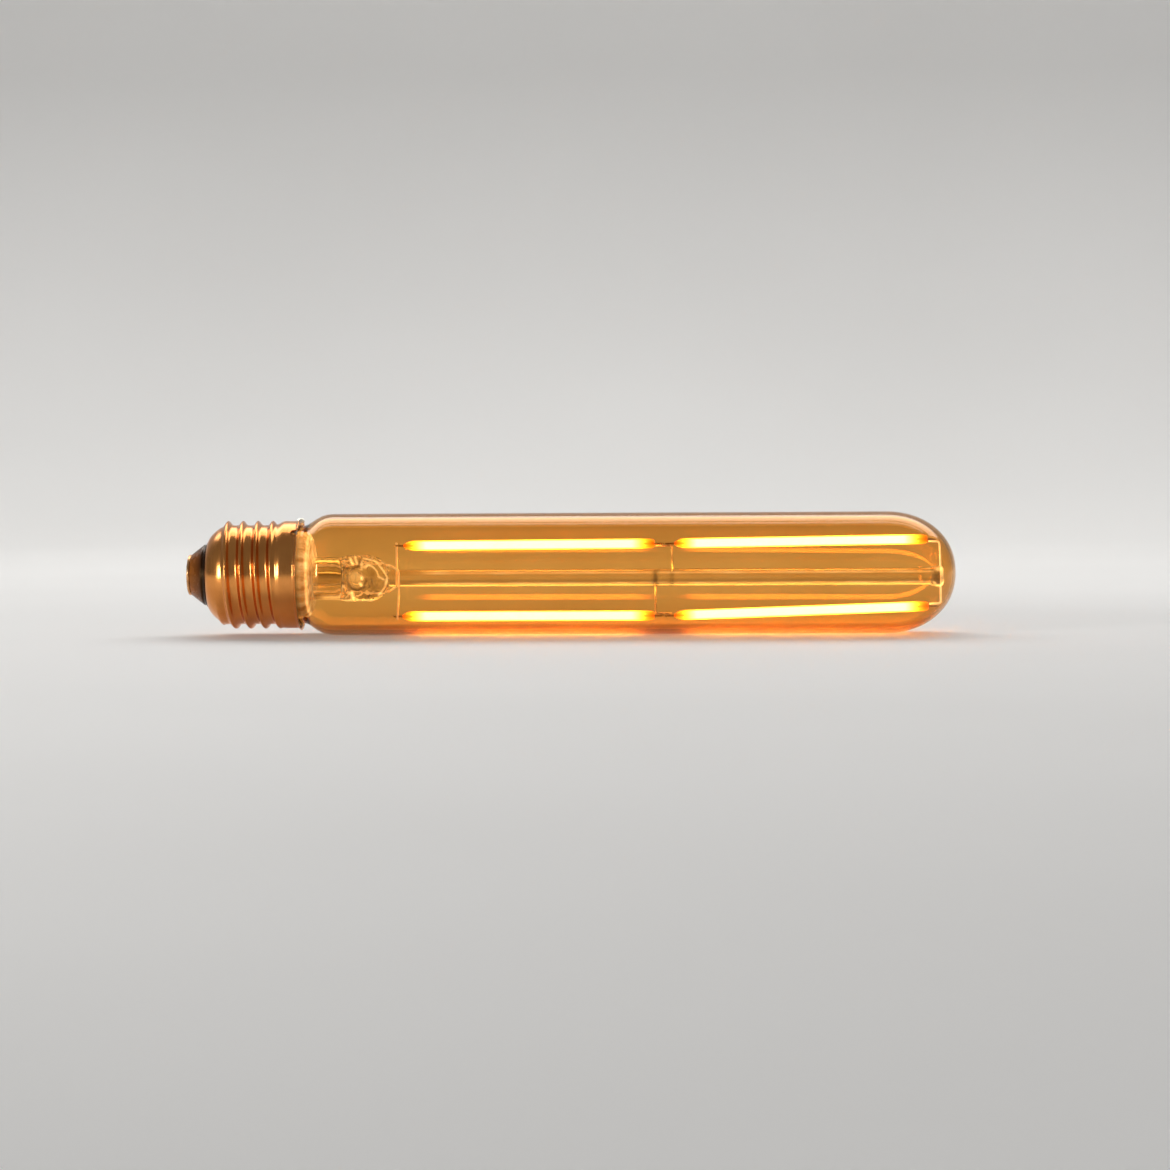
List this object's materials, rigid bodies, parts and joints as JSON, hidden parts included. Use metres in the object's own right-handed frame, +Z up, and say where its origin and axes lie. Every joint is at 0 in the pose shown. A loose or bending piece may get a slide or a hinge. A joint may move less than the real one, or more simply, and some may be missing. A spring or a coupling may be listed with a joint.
{
  "type": "tubular light bulb",
  "caption": "Slim tubular amber glass bulb with glowing filament strips along a glass rod, a domed end and a brass-coloured screw cap.",
  "frame": {"origin": "centre of the centre contact's face, on the axis of the tube", "axes": "+X along the bulb from the contact to the dome, +Z up, towards the notch side of the rim and the upper filaments"},
  "size_m": [0.185, 0.0292, 0.0292],
  "materials": {
    "amber_glass": "clear amber tint, gloss",
    "stem_glass": "clear, gloss",
    "cap_metal": "rolled sheet, satin gloss",
    "contact_metal": "satin",
    "solder": "tin solder, soft gloss",
    "insulator": "dark amber-brown cast glass, gloss",
    "cement": "matte",
    "lead_metal": "copper-plated wire, satin",
    "support_metal": "nickel-plated wire",
    "strip_metal": "plated strip, satin",
    "filament_coating": "phosphor in silicone, lit",
    "board": "solder mask, satin",
    "package_black": "moulded, matte",
    "capacitor_sleeve": "shrunk film, gloss",
    "resistor_lacquer": "lacquer, gloss",
    "glass_sleeving": "woven glass-fibre sleeve, matte"
  },
  "bodies": {
    "root": {"glass_envelope": "amber_glass", "stem_flare": "stem_glass", "exhaust_tube": "stem_glass", "support_rod": "stem_glass", "screw_shell": "cap_metal", "cap_insulator": "insulator", "centre_contact": "contact_metal", "contact_solder": "solder", "rim_solder": "solder", "capping_cement": "cement", "lead_in_wire_upper": "lead_metal", "lead_in_wire_lower": "lead_metal", "mid_support_upper": "support_metal", "mid_support_lower": "support_metal", "crown_wire": "support_metal", "strip_upper_stem": "strip_metal", "strip_upper_crown": "strip_metal", "strip_lower_stem": "strip_metal", "strip_lower_crown": "strip_metal", "coating_upper_stem": "filament_coating", "coating_upper_crown": "filament_coating", "coating_lower_stem": "filament_coating", "coating_lower_crown": "filament_coating", "driver_board": "board", "rectifier": "package_black", "driver_chip": "package_black", "chip_resistors": "package_black", "capacitor": "capacitor_sleeve", "fuse_resistor": "resistor_lacquer", "fuse_sleeve": "glass_sleeving", "centre_lead": "lead_metal", "rim_lead": "lead_metal"}
  },
  "joints": []
}
